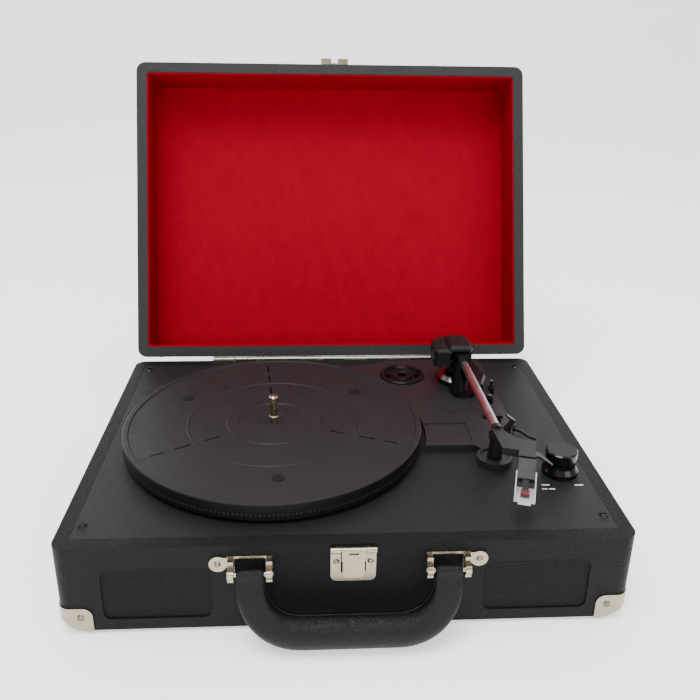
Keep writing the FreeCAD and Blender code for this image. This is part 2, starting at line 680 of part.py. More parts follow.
def pivot_shaft():
    return keep("pivot_shaft", rod(3, "column_top + 2 - plate_thick - 1.2", "arm_x", "arm_y",
                                   "deck_top + plate_thick + 1.2"))


def pivot_housing():
    """The hood that turns with the arm: a side tower, a roof, a round floor and a right cheek."""
    low = "deck_top + column_top + 0.5"
    tower = extruded("tower", [(f"arm_x - {x}", f"arm_y + {y}") for x, y in (
        (22.9, -12), (20.5, -16), (10, -16), (10, 15), (17, 15), (22.9, 7))], low, "deck_top + 38.4")
    chamfer_top(tower, 2)
    roof = extruded("roof", [(f"arm_x + {x}", f"arm_y + {y}") for x, y in (
        (-10, -12), (7.6, -12), (9.8, -9), (9.8, 6), (5, 16), (-10, 16))], "deck_top + 35",
        "deck_top + 39.5")
    chamfer_top(roof, 2.4)
    floor = cut(rod(14.4, 2.4, "arm_x - 8", "arm_y - 1", low),
                block("arm_x - 9.9", "arm_x + 12", "arm_y - 24", "arm_y - 8", "deck_top + 20",
                      "deck_top + 30"))
    cheek = block("arm_x + 6.9", "arm_x + 9.8", "arm_y - 7", "arm_y + 7", low, "deck_top + 36")
    arm_side = block("arm_x - 10", "arm_x + 9.8", "arm_y - 7", "arm_y + 7", low, f"{low} + 2.4")
    hood = fuse(tower, roof, floor, cheek, arm_side)
    return keep("pivot_housing", cut(hood, rod(1.5, 40, "arm_x - 12", "arm_y", "deck_top + pin_rise", "X"),
                                     rod(3, 2, "arm_x", "arm_y", "deck_top + column_top")))


def pivot_pin():
    return keep("pivot_pin", rod(1.5, 20.8, "arm_x - 11.5", "arm_y", "deck_top + pin_rise", "X"))


def along_tube(radius, y_front, y_back):
    """A round bar on the tube's line, which slants a little from its back end to its front end."""
    slope = size("(tube_front_x - tube_back_x) / (tube_front - tube_back)")
    ends = [(size("tube_front_x") + slope * (size(y) - size("tube_front")), size(y),
             size("deck_top + tube_rise"))
            for y in (y_front, y_back)]
    return rod_between(radius, *ends)


def tonearm_holder():
    """The tapered carrier that tilts on the pin and holds the back end of the tube."""
    body = extruded("holder", [(f"arm_x + {x}", f"arm_y + {y}") for x, y in (
        (-6.4, 11), (6.4, 11), (6.4, -6), (5, -21), (-3.8, -21), (-6.4, -6))],
                    "deck_top + 26.4 - 2.4", "deck_top + 33.2")
    spared = block("arm_x - 12", "arm_x + 12", "arm_y - 10", "arm_y + 14", "deck_top + 20",
                   "deck_top + 26.4")
    pin_bore = rod(1.55, 30, "arm_x - 15", "arm_y", "deck_top + pin_rise", "X")
    tube_bore = along_tube("tube_radius", 48, "tube_back")
    return keep("tonearm_holder", cut(body, spared, pin_bore, tube_bore))


def tonearm_tube():
    return keep("tonearm_tube", cut(along_tube("tube_radius", "tube_front", "tube_back"),
                                    along_tube("tube_radius - 0.6", "tube_front - 1", "tube_back + 1")))


def headshell():
    body = extruded("headshell", [(f"tube_front_x + {x}", f"tube_front + {y}") for x, y in (
        (-4, -2.6), (3.2, -2.6), (4.6, -7.8))] + [(f"head_x + {x}", f"head_y + {y}") for x, y in (
            (-4.6, 3.6), (6, 0.3), (0.6, -20.2), (-10.3, -17), (-8, -10.5), (-18.4, -7))] + [
        ("tube_front_x - 3.9", "tube_front - 9")], "deck_top + head_low", "deck_top + head_high")
    ferrule = cut(along_tube(3.6, "tube_front - 3", "tube_front + 1.6"),
                  along_tube("tube_radius", "tube_front", 0))
    return keep("headshell", fuse(body, ferrule))


def in_head_frame(obj):
    """Turns a piece drawn along -Y so that it lies along the cartridge's offset angle."""
    obj.Placement = Placement(Vector(size("head_x"), size("head_y"), 0),
                              Rotation(Vector(0, 0, 1), -size("offset_angle")))
    return obj


def side_profile(name, points, x_low, x_high):
    """A body from a side view of (forward, height) points, between two widths across the head."""
    body = new_body(name)
    sketch = sketch_on(body, "YZ_Plane", x_low)
    polygon(sketch, [(f"-({forward})", f"deck_top + {height}") for forward, height in points])
    pad(body, sketch, f"({x_high}) - ({x_low})")
    return body


def cartridge():
    shell = side_profile("shell", [(4, 17.8), (32, 17.8), (32, 20.6), (21.2, 29.2), (21.2, "head_low"),
                                   (4, "head_low")],
                         -4.6, 6.6)
    nose = side_profile("nose", [(31.9, 17.9), (43, 17.2), (43, 18.8), (31.9, 20.2)], -1, 3)
    return keep("cartridge", in_head_frame(fuse(shell, nose)))


def stylus():
    holder = side_profile("red_tip", [(43, 16.9), (47, 16.9), (47, 18.4), (43, 19)], -1.8, 3.8)
    tip = rod(0.4, 0.7, 1, -45.4, "deck_top + 16.2")
    return keep("stylus", in_head_frame(fuse(holder, tip)))


def stylus_guard():
    arm = [(28.5, 24), (30.4, 24.3), (51, 17.4), (51, "guard_low"), (35, "guard_low"), (35, 16.4)]
    left = side_profile("left_arm", arm, -5.5, -4.7)
    right = side_profile("right_arm", arm, 6.7, 7.5)
    floor = side_profile("floor", [(35, "guard_low"), (51, "guard_low"), (51, "guard_low + 0.8"),
                                   (35, "guard_low + 0.8")],
                         -5.5, 7.5)
    tab = side_profile("tab", [(50.8, "guard_low"), (53.4, "guard_low"), (53.4, "guard_low + 0.8"),
                               (50.8, "guard_low + 0.8")],
                       -3, 5)
    return keep("stylus_guard", in_head_frame(fuse(left, right, floor, tab)))


def finger_lift():
    body = extruded("finger", [(4, -8), (9.4, -11), (17, -22.4), (16, -23.4), (8.6, -15.6), (4, -15)],
                    "deck_top + head_high - 2.4", "deck_top + head_high - 1.2")
    return keep("finger_lift", cut(in_head_frame(body), parts["headshell"]))


# ---- arm rest, clip and cue lever ----

def arm_rest():
    foot = "deck_top + plate_thick - 1"
    post = cone(5.4, 4.2, "19.6 - plate_thick", "boss_x", "boss_y", foot)
    cradle = block("boss_x - 4.6", "boss_x + 3.6", "boss_y - 2.6", "boss_y + 3.4", "deck_top + 18",
                   "deck_top + 23.4")
    wall = block("boss_x + 3.2", "boss_x + 4.6", "boss_y + 1.2", "boss_y + 3.4", "deck_top + 18",
                 "deck_top + 25")
    lug = block("boss_x + 1", "clip_x + 2", "boss_y + 3.4", "boss_y + 5", "deck_top + clip_rise - 2.2",
                "deck_top + clip_rise + 2.2")
    pin = rod(0.8, 7, "clip_x", "boss_y + 4.6", "deck_top + clip_rise", "Y")
    return keep("arm_rest", fuse(post, cradle, wall, lug, pin))


def arm_clip():
    """A hook that closes over the tube, leaning open; drawn upright from its own pin."""
    hub = rod(1.8, 5, 0, 0, 0, "Y")
    stem = block(-0.8, 0.8, 0, 4.4, 0.5, 14.4)
    hook = block(-6.6, 0.8, 0, 4.4, 13.2, 14.4)
    clip = cut(fuse(hub, stem, hook), rod(0.86, 7, 0, -1, 0, "Y"))
    clip.Placement = Placement(Vector(size("clip_x"), size("boss_y + 5.4"), size("deck_top + clip_rise")),
                               Rotation(Vector(0, 1, 0), size("clip_lean")))
    return keep("arm_clip", clip)


def cue_lever():
    hub = rod(2.8, 1.7, "cue_x + 3.9", "cue_y", "deck_top + cue_rise", "X")
    x, y, z = size("cue_x + 4.8"), size("cue_y"), size("deck_top + cue_rise")
    route = [(x, y - 2, z), (x + 3.4, y - 5.4, z), (x + 7.4, y - 13.4, z), (x + 11, y - 16.6, z)]
    bars = [rod_between(1.1, one, two) for one, two in zip(route, route[1:])]
    knots = [ball(1.1, *point) for point in route[1:]]
    return keep("cue_lever", cut(fuse(hub, *bars, *knots), rod(1.06, 8, "cue_x", "cue_y",
                                                "deck_top + cue_rise", "X")))


def cue_platform():
    stem = rod(1.5, 19, "cue_stem_x", "cue_bar_y", "deck_top + 1")
    bar = block("arm_x + 1.2", "cue_stem_x + 2", "cue_bar_y - 2", "cue_bar_y + 2", "deck_top + 18.6",
                "deck_top + 21")
    return keep("cue_platform", fuse(stem, bar))


# ---- controls and electronics ----

def volume_knob():
    body = turned("volume_knob", "knob_x", "knob_y", "deck_top", [
        (0, -10), (3, -10), (3, 0.5), ("knob_skirt", 0.5), ("knob_skirt", 3.4), ("knob_skirt - 1.2", 5),
        ("knob_radius - 0.6", 6.4), ("knob_radius - 0.7", 9.4), ("knob_radius", 10.8),
        ("knob_radius", "knob_tall - 0.8"), ("knob_radius - 0.8", "knob_tall"), (0, "knob_tall")])
    return keep("volume_knob", body)


def volume_pot():
    body = turned("volume_pot", "knob_x", "knob_y", "deck_top", [
        (0, -14), (8, -14), (8, "-deck_thick"), (4, "-deck_thick"), (4, 0), (3.05, 0), (3.05, -11),
        (0, -11)])
    return keep("volume_pot", body)


def circuit_board():
    """A board on four short pillars, with two chips and a capacitor."""
    low = "foot_height + panel_thick"
    board = block(30, 110, 20, 90, f"{low} + 6", f"{low} + 7.6")
    pillars = [rod(2.4, 6, x, y, low) for x in (35, 105) for y in (25, 85)]
    chips = [block(50, 64, 40, 58, f"{low} + 7.6", f"{low} + 10"),
             block(76, 84, 60, 76, f"{low} + 7.6", f"{low} + 10"),
             rod(5, 12, 96, 36, f"{low} + 7.6")]
    return keep("circuit_board", fuse(board, *pillars, *chips))


JACKS_X = {"power": -22, "left": -4, "right": 9, "phones": 23}


def jack_plate():
    body = new_body("jack_plate")
    sketch = sketch_on(body, "XZ_Plane", "-case_depth / 2 - 1.5")
    rounded(sketch, "-jack_width / 2", "jack_width / 2", "-jack_tall / 2", "jack_tall / 2", 3)
    pad(body, sketch, 1.5)
    holes = sketch_on(body, "XZ_Plane", "-case_depth / 2")
    for name, radius in (("power", 4.6), ("left", 3.7), ("right", 3.7), ("phones", 3.3)):
        circle(holes, JACKS_X[name], 0, radius)
    pocket(body, holes, 3)
    return keep("jack_plate", put(body, "jack_x", 0, "jack_z"))


def socket(x, outer, bore, reach):
    """A round socket through the rear plate, with a blind bore."""
    start = "case_depth / 2 - 12"
    return cut(rod(outer, f"13.5 + {reach}", x, start, "jack_z", "Y"),
               rod(bore, f"10 + {reach}", x, f"{start} + 4", "jack_z", "Y"))


def power_jack():
    x = f"jack_x + {JACKS_X['power']}"
    return keep("power_jack", socket(x, 4.5, 2.8, 0.4))


def audio_jacks():
    """Two line-out sockets and a headphone socket."""
    sockets = [socket(f"jack_x + {JACKS_X['phones']}", 3.2, 1.8, 0.4)]
    for name in ("left", "right"):
        x = f"jack_x + {JACKS_X[name]}"
        sleeve = cut(rod(4.15, 7.2, x, "case_depth / 2 + 2.5", "jack_z", "Y"),
                     rod(1.7, 9, x, "case_depth / 2 + 2", "jack_z", "Y"))
        sockets.append(fuse(socket(x, 3.6, 1.7, 1), sleeve))
    return keep("audio_jacks", group(*sockets))


# ---- hinge and lid ----

KNUCKLES = 11


def leaf(label, own, up):
    """One leaf of the piano hinge in the hinge's own frame: a strip, its necks and its barrel."""
    pitch = f"(2 * hinge_half / {KNUCKLES})"
    low, high = ("leaf_clear", "leaf_clear + leaf_width") if up else ("-leaf_clear - leaf_width",
                                                "-leaf_clear")
    neck_low, neck_high = (0, "leaf_clear + 0.5") if up else ("-leaf_clear - 0.5", 0)
    solids = [block("-hinge_half", "hinge_half", "-hinge_offset", "-hinge_offset + leaf_thick", low, high)]
    for number in own:
        start = f"-hinge_half + {number} * {pitch} + knuckle_gap / 2"
        length = f"{pitch} - knuckle_gap"
        solids.append(block(start, f"{start} + {length}", "-hinge_offset", "-hinge_offset + leaf_thick",
                            neck_low, neck_high))
        solids.append(rod("barrel_radius", length, start, 0, 0, "X"))
    return cut(fuse(*solids), rod("hinge_bore", "2 * hinge_half + 2", "-hinge_half - 1", 0, 0, "X"))


def hinge_placement(opened):
    """Where the hinge's own frame stands; the lid's pieces are also turned open about it."""
    place = Vector(0, size("case_depth / 2 + hinge_offset"), size("deck_top + hinge_rise"))
    return Placement(place, Rotation(Vector(1, 0, 0), -size("lid_open") if opened else 0))


def on_lid(label, obj):
    obj.Placement = hinge_placement(True)
    return keep(label, obj)


def hinge_base_leaf():
    strip = leaf("hinge_base_leaf", range(0, KNUCKLES, 2), False)
    strip.Placement = hinge_placement(False)
    return keep("hinge_base_leaf", strip)


def hinge_lid_leaf():
    return on_lid("hinge_lid_leaf", leaf("hinge_lid_leaf", range(1, KNUCKLES, 2), True))


def hinge_pin():
    return keep("hinge_pin", rod("hinge_pin_radius", "2 * hinge_half", "-hinge_half",
                                 "case_depth / 2 + hinge_offset",
                                 "deck_top + hinge_rise", "X"))


def lid_shell():
    body = new_body("lid_shell")
    outline = sketch_on(body, "XY_Plane", "hinge_rise")
    rounded(outline, "-case_width / 2", "case_width / 2", "-hinge_offset - case_depth", "-hinge_offset",
            "case_corner")
    pad(body, outline, "lid_height")
    inside = sketch_on(body, "XY_Plane", "hinge_rise")
    rounded(inside, "-case_width / 2 + lid_wall", "case_width / 2 - lid_wall",
            "-hinge_offset - case_depth + lid_wall", "-hinge_offset - lid_wall", 3)
    pocket(body, inside, "lid_height - lid_top", True)
    cutters = put(group(*corner_cutters("hinge_rise + lid_height", False)), 0,
                  "-hinge_offset - case_depth / 2")
    return on_lid("lid_shell", cut(body, cutters))


def lid_lining():
    """The felt tray that lines the lid's walls and its inside face."""
    body = new_body("lid_lining")
    inset = "lid_wall + lining_gap"
    inner = f"{inset} + lining_thick"
    outline = sketch_on(body, "XY_Plane", "hinge_rise + lining_drop")
    rounded(outline, f"-case_width / 2 + {inset}", f"case_width / 2 - ({inset})",
            f"-hinge_offset - case_depth + {inset}", f"-hinge_offset - ({inset})", 3)
    pad(body, outline, "lid_height - lid_top - lining_drop")
    hollow = sketch_on(body, "XY_Plane", "hinge_rise + lining_drop")
    rounded(hollow, f"-case_width / 2 + {inner}", f"case_width / 2 - ({inner})",
            f"-hinge_offset - case_depth + {inner}", f"-hinge_offset - ({inner})", 2)
    pocket(body, hollow, "lid_height - lid_top - lining_drop - lining_thick", True)
    return on_lid("lid_lining", body)


def lid_corner_guards():
    guards = four_corners(corner_guard("hinge_rise + lid_height", False))
    return on_lid_middle("lid_corner_guards", group(*guards))


def on_lid_middle(label, obj):
    """Like on_lid, for a piece drawn about the middle of the lid."""
    centre = Placement(Vector(0, -size("hinge_offset + case_depth / 2"), 0), Rotation())
    obj.Placement = hinge_placement(True).multiply(centre)
    return keep(label, obj)


def lid_screws():
    half = "case_depth / 2"
    rise = "hinge_rise + lid_height - guard_tall * 0.6"
    corner = "(case_width / 2 - guard_reach * 0.66)"
    front = [(f"{side} * {corner}", f"-{half} - guard_thick", rise) for side in (-1, 1)]
    rear = [(f"{side} * {corner}", f"{half} + guard_thick", rise) for side in (-1, 1)]
    strip = [(f"{place} * hinge_half / 5", f"{half} + leaf_thick", 9) for place in (-4.5, -1.5, 1.5, 4.5)]
    catch = [(f"latch_x + {side} * 8", f"-{half} - 1.2", "hinge_rise + 12") for side in (-1, 1)]
    return on_lid_middle("lid_screws", group(*screws(front, "Y", -1), *screws(rear, "Y", 1),
                                             *screws(strip, "Y", 1, head=2.2),
                                             *screws(catch, "Y", -1, head=1.8)))


def lid_catch():
    """The lid's half of the latch: a plate with a hooked lip at the rim."""
    front = "-hinge_offset - case_depth"
    x_low, x_high = "latch_x - 12.4", "latch_x + 12.4"
    plate = block(x_low, x_high, f"{front} - 1.2", front, "hinge_rise + 3.4", "hinge_rise + 17")
    lip = block(x_low, x_high, f"{front} - 6.4", front, "hinge_rise + 3.4", "hinge_rise + 4.8")
    hook = rod(1.6, "24.8", x_low, f"{front} - 5.4", "hinge_rise + 5", "X")
    bead = rod(1.6, "24.8", x_low, f"{front} - 1.6", "hinge_rise + 5", "X")
    gap = block("latch_x - 3", "latch_x + 3", f"{front} - 8", f"{front} - 2.4", "hinge_rise + 2",
                "hinge_rise + 8")
    return on_lid("lid_catch", cut(fuse(plate, lip, hook, bead), gap))


# ---- latch and handle ----

def latch_plate():
    front, pin_y = "-case_depth / 2", "(-case_depth / 2 - latch_pin_out)"
    body = new_body("plate")
    sketch = sketch_on(body, "XZ_Plane", "case_depth / 2")
    rounded(sketch, "latch_x - latch_half", "latch_x + latch_half", "latch_low", "latch_high", 4)
    pad(body, sketch, 1.2)
    window = block("latch_x - 4.6", "latch_x + 4.6", f"{front} - 2", f"{front} + 1", "latch_low + 2.6",
                   "latch_low + 5.2")
    lugs = []
    for low, high in (("latch_x - latch_half", "latch_x - 7.8"), ("latch_x + 7.8", "latch_x + latch_half")):
        lugs.append(rod(1.9, f"({high}) - ({low})", low, pin_y, "latch_pin_z", "X"))
        lugs.append(block(low, high, pin_y, front, "latch_pin_z - 1.9", "latch_pin_z"))
    bore = rod(0.95, 40, "latch_x - 20", pin_y, "latch_pin_z", "X")
    return keep("latch_plate", cut(fuse(body, *lugs), bore, window))


def latch_pin():
    return keep("latch_pin", rod(0.95, "2 * latch_half", "latch_x - latch_half",
                                 "-case_depth / 2 - latch_pin_out",
                                 "latch_pin_z", "X"))


def latch_lever():
    """A tongue with rounded ends that hangs from a slotted, thicker hinge strip."""
    pin_y = "(-case_depth / 2 - latch_pin_out)"
    hub = rod(1.8, 14.4, "latch_x - 7.2", pin_y, "latch_pin_z", "X")
    tongue = new_body("tongue")
    outline = sketch_on(tongue, "XZ_Plane", "case_depth / 2 + latch_pin_out + 0.4")
    rounded(outline, "latch_x - 6.6", "latch_x + 6.6", "latch_pin_z - 18.6", "latch_pin_z", 3.4)
    pad(tongue, outline, 1.2)
    step = block("latch_x - 7.2", "latch_x + 7.2", f"{pin_y} - 2.2", f"{pin_y} - 0.4", "latch_pin_z - 6.4",
                 "latch_pin_z + 0.6")
    slot = block("latch_x - 3", "latch_x + 3", f"{pin_y} - 3", f"{pin_y} - 1.3", "latch_pin_z - 1.8",
                 "latch_pin_z - 0.4")
    return keep("latch_lever", cut(fuse(hub, tongue, step), slot,
                                   rod(1.0, 40, "latch_x - 20", pin_y, "latch_pin_z", "X")))


def handle_bracket(label, side):
    """A frame on the front face with a spoon-shaped tab to the outside and two ears that hold the pin."""
    front, pin_y = "-case_depth / 2", "(-case_depth / 2 - handle_pin_out)"
    back = block("bracket_x - 13.4", "bracket_x + 13.2", f"{front} - 1.2", front, "handle_pin_z - 4.4",
                 "handle_pin_z + 9")
    window = block("bracket_x - 9.4", "bracket_x + 9.2", f"{front} - 2", f"{front} + 1", "handle_pin_z - 6",
                   "handle_pin_z + 7.4")
    tab = rod(5.4, 1.2, "bracket_x + 19.2", f"{front} - 1.2", "handle_pin_z + 3.4", "Y")
    bridge = block("bracket_x + 12", "bracket_x + 19", f"{front} - 1.2", front, "handle_pin_z + 1.4",
                   "handle_pin_z + 8")
    ears = []
    for low, high in (("bracket_x - 13.4", "bracket_x - 9.8"), ("bracket_x + 9.6", "bracket_x + 13.2")):
        ears.append(block(low, high, f"{front} - 5.4", front, "handle_pin_z + 1", "handle_pin_z + 8"))
        ears.append(block(low, high, f"{pin_y} - 1.6", front, "handle_pin_z - 4.4", "handle_pin_z + 3.4"))
        ears.append(rod(3, f"({high}) - ({low})", low, pin_y, "handle_pin_z", "X"))
    solid = cut(fuse(cut(back, window), tab, bridge, *ears),
                rod("handle_pin_radius", 60, "bracket_x - 30", pin_y, "handle_pin_z", "X"))
    return keep(label, solid if side > 0 else mirrored(solid, MIRROR_X))


def handle_pins():
    pins = [rod("handle_pin_radius", 27, f"{side} * bracket_x - 13.5 - {side} * 0.5",
                "-case_depth / 2 - handle_pin_out", "handle_pin_z", "X") for side in (-1, 1)]
    return keep("handle_pins", group(*pins))


def handle_grip():
    """A padded bail: a round grip, two bends and two flat legs that loop round the pins."""
    drop, radius = size("handle_drop"), size("grip_radius")
    bend = 25
    half = size("bracket_x") - bend
    grip = rod("grip_radius", 2 * half, -half, 0, "-handle_drop", "X")
    solids = [grip]
    for side in (-1, 1):
        joint = ball("grip_radius", side * half, 0, "-handle_drop")
        knee = (side * (half + bend * 0.72), 0, -drop + bend * 0.42)
        start = (side * half, 0, -drop)
        line = Vector(*knee) - Vector(*start)
        elbow = doc.addObject("Part::Cone", "Elbow")
        elbow.Radius1, elbow.Radius2, elbow.Height = radius, radius * 0.72, line.Length
        elbow.Placement = Placement(Vector(*start), Rotation(Vector(0, 0, 1), line))
        tip = ball(radius * 0.72, *knee)
        leg = block(f"{side} * (bracket_x - 0.6) - 8", f"{side} * (bracket_x - 0.6) + 8", -3.4, 3.4,
                    knee[2], 0)
        loop = rod(4, 18.6, f"{side} * (bracket_x - 0.1) - 9.3", 0, 0, "X")
        solids += [joint, elbow, tip, leg, loop]
    bore = rod("handle_bore", 160, -80, 0, 0, "X")
    handle = cut(fuse(*solids), bore)
    handle.Placement = Placement(Vector(0, size("-case_depth / 2 - handle_pin_out"), size("handle_pin_z")),
                                 Rotation(Vector(1, 0, 0), -size("handle_tilt")))
    return keep("handle_grip", handle)


def build():
    for make in (case_shell, bottom_panel, rubber_feet, deck_panel, panel_screws, base_corner_guards,
                 base_screws,
                 platter, platter_pads, spindle, bearing_housing, motor, motor_pulley, drive_belt,
                 mechanism_plate,
                 adapter_45, lift_housing, switch_block, tonearm_base, pivot_ring, pivot_shaft,
                 pivot_housing,
                 pivot_pin, tonearm_holder, tonearm_tube, headshell, cartridge, stylus, stylus_guard,
                 finger_lift,
                 arm_rest, arm_clip, cue_lever, cue_platform, volume_knob, volume_pot, circuit_board,
                 jack_plate,
                 power_jack, audio_jacks, hinge_base_leaf, hinge_lid_leaf, hinge_pin, lid_shell,
                 lid_lining, lid_corner_guards, lid_screws, lid_catch, latch_plate, latch_pin, latch_lever,
                 handle_pins, handle_grip):
        make()
    for side, name in ((-1, "left"), (1, "right")):
        grille(f"grille_{name}", side)
        handle_bracket(f"handle_bracket_{name}", side)
    keep("speakers", group(speaker(-1), speaker(1)))
    slide_switch("speed", 9.5)
    slide_switch("stop", 14)
    doc.recompute()


def write():
    failed = [obj.Name for obj in doc.Objects if {"Invalid", "Error"} & set(obj.State)]
    broken = [label for label, obj in parts.items() if obj.Shape.isNull() or not obj.Shape.isValid()]
    if failed or broken:
        raise RuntimeError(f"failed objects {failed}, broken shapes {broken}")
    os.makedirs("parts", exist_ok=True)
    for label, obj in parts.items():
        obj.Shape.exportStep(f"parts/{label}.step")
        box = obj.Shape.BoundBox
        print(f"{label:20s} solids {len(obj.Shape.Solids):2d} volume {obj.Shape.Volume:10.1f} "
              f"x {box.XMin:7.1f} {box.XMax:7.1f} y {box.YMin:7.1f} {box.YMax:7.1f} z {box.ZMin:6.1f} {box.ZMax:6.1f}")
    print(len(parts), "parts")


build()
write()
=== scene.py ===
import json
import math

import bmesh
import bpy
from mathutils import Matrix, Vector


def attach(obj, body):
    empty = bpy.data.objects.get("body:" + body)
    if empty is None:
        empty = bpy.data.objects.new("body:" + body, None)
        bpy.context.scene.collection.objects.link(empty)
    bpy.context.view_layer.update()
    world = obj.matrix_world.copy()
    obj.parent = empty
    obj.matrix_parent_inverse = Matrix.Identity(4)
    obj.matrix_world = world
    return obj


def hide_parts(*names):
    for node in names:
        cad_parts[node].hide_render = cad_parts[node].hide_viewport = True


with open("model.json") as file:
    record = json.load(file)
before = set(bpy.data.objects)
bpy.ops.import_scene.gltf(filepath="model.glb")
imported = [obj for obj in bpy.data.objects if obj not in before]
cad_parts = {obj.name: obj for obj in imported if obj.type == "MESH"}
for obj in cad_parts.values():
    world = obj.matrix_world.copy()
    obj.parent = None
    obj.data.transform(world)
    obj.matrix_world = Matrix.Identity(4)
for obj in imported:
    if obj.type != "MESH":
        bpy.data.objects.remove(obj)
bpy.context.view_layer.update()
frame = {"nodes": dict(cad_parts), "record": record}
nodes = frame["nodes"]
MM = 0.001

# sizes and places in mm
DECK = 63.0                  # height of the deck's top
FRONT = -133.7               # the case's front face
PLATTER = (-49.6, -4.0)
PLATTER_TOP_RADIUS = 108.7   # beyond this a point lies on the platter's rim
RIB_LOW, RIB_HIGH = 5.6, 7.2     # the band of ribs on the rim, above the deck
KNOB, KNOB_RISE = (150.4, -59.2), 18.0
HANDLE_PIN = (0, FRONT - 6.8, 47.4)
LATCH_X = 2.2
GRILLE_X, GRILLE_Z = 117.2, 28.2


# ---- procedural materials ----

class Paint:
    """A node material with a Principled shader; its textures use object coordinates, in metres."""

    def __init__(self, name, colour, roughness=0.5, **sockets):
        self.material = bpy.data.materials.new(name)
        self.material.use_nodes = True
        self.nodes = self.material.node_tree.nodes
        self.links = self.material.node_tree.links
        self.shader = self.nodes["Principled BSDF"]
        self.shader.inputs["Base Color"].default_value = (*colour, 1)
        self.shader.inputs["Roughness"].default_value = roughness
        for socket, value in sockets.items():
            self.shader.inputs[socket.replace("_", " ")].default_value = value
        self.colour = colour
        self.place = self.add("ShaderNodeTexCoord").outputs["Object"]

    def add(self, kind, **settings):
        node = self.nodes.new(kind)
        for name, value in settings.items():
            setattr(node, name, value)
        return node

    def link(self, source, target):
        self.links.new(source, target)

    def stretched(self, x, y, z, turn=(0, 0, 0)):
        """Object coordinates scaled apart along the three axes, to draw a grain out along one of them."""
        node = self.add("ShaderNodeMapping")
        node.inputs["Scale"].default_value = (x, y, z)
        node.inputs["Rotation"].default_value = [math.radians(angle) for angle in turn]
        self.link(self.place, node.inputs["Vector"])
        return node.outputs["Vector"]

    def noise(self, scale, detail=3, rough=0.55, vector=None):
        node = self.add("ShaderNodeTexNoise")
        node.inputs["Scale"].default_value = scale
        node.inputs["Detail"].default_value = detail
        node.inputs["Roughness"].default_value = rough
        self.link(vector or self.place, node.inputs["Vector"])
        return node.outputs["Fac"]

    def cells(self, scale, feature="DISTANCE_TO_EDGE", random=1, vector=None):
        node = self.add("ShaderNodeTexVoronoi", feature=feature)
        node.inputs["Scale"].default_value = scale
        node.inputs["Randomness"].default_value = random
        self.link(vector or self.place, node.inputs["Vector"])
        return node.outputs["Distance"]

    def math(self, operation, first, second=None, third=None):
        node = self.add("ShaderNodeMath", operation=operation)
        for socket, value in zip(node.inputs, (first, second, third)):
            if isinstance(value, (int, float)):
                socket.default_value = value
            elif value is not None:
                self.link(value, socket)
        return node.outputs[0]

    def span(self, value, low, high, to_low, to_high):
        """Maps low..high to to_low..to_high, and holds it there."""
        node = self.add("ShaderNodeMapRange")
        self.link(value, node.inputs["Value"])
        for socket, number in zip(("From Min", "From Max", "To Min", "To Max"), (low, high, to_low, to_high)):
            node.inputs[socket].default_value = number
        return node.outputs["Result"]

    def mix(self, share, first, second):
        node = self.add("ShaderNodeMix", data_type="RGBA")
        for socket, value in zip((node.inputs[0], node.inputs[6], node.inputs[7]), (share, first, second)):
            if isinstance(value, tuple):
                socket.default_value = (*value, 1)
            elif isinstance(value, (int, float)):
                socket.default_value = value
            else:
                self.link(value, socket)
        return node.outputs[2]

    def tint(self, share, dark, light):
        """Varies the colour between two multiples of the base colour."""
        tones = [tuple(min(1, part * factor) for part in self.colour) for factor in (dark, light)]
        self.link(self.mix(share, *tones), self.shader.inputs["Base Color"])

    def rough(self, value, low, high):
        self.link(self.span(value, 0.3, 0.7, low, high), self.shader.inputs["Roughness"])

    def bump(self, height, depth, strength=1, under=None):
        """Raises the surface by height times depth, in metres."""
        node = self.add("ShaderNodeBump")
        node.inputs["Strength"].default_value = strength
        node.inputs["Distance"].default_value = depth
        self.link(height, node.inputs["Height"])
        if under:
            self.link(under, node.inputs["Normal"])
        self.link(node.outputs["Normal"], self.shader.inputs["Normal"])
        return node.outputs["Normal"]


def leatherette(name, colour, pebble=620, depth=0.00022, low=0.38, high=0.56, gloss=0.25):
    """Pebbled vinyl: small rounded cells with shallow valleys, a finer grain and slow changes of tone."""
    paint = Paint(name, colour, Specular_IOR_Level=gloss)
    warp = paint.noise(pebble * 0.4, 2)
    shifted = paint.add("ShaderNodeVectorMath", operation="MULTIPLY_ADD")
    paint.link(paint.place, shifted.inputs[0])
    shifted.inputs[1].default_value = (1, 1, 1)
    scaled = paint.add("ShaderNodeVectorMath", operation="SCALE")
    combined = paint.add("ShaderNodeCombineXYZ")
    for socket in combined.inputs:
        paint.link(warp, socket)
    paint.link(combined.outputs[0], scaled.inputs[0])
    scaled.inputs["Scale"].default_value = 0.9 / pebble
    paint.link(scaled.outputs[0], shifted.inputs[2])
    pebbles = paint.cells(pebble, vector=shifted.outputs[0])
    rounded = paint.span(pebbles, 0.0, 0.32, 0, 1)
    fine = paint.noise(pebble * 4, 2)
    height = paint.math("MULTIPLY_ADD", fine, 0.3, rounded)
    paint.bump(height, depth, 0.8)
    tone = paint.noise(26, 4)
    # The pebble tops are drawn lighter and the valleys between them darker, a painted shade; the slow tone
    # noise varies at random.
    paint.tint(paint.math("MULTIPLY_ADD", rounded, 0.7, paint.math("MULTIPLY", tone, 0.3)), 0.66, 1.3)
    paint.rough(paint.noise(900, 3), low, high)
    return paint.material


def felt(name, colour):
    """Flocked felt: a short fuzzy nap with faint brushed streaks."""
    paint = Paint(name, colour, 0.96, Specular_IOR_Level=0.04)
    nap = paint.noise(1500, 4, 0.7)
    streak = paint.noise(90, 5, 0.7, paint.stretched(1, 1, 0.5))
    paint.bump(nap, 0.00035, 0.75)
    mixed = paint.math("MULTIPLY_ADD", nap, 0.55, paint.math("MULTIPLY", streak, 0.45))
    paint.tint(paint.span(mixed, 0.3, 0.7, 0, 1), 0.84, 1.14)
    paint.rough(nap, 0.9, 1)
    return paint.material


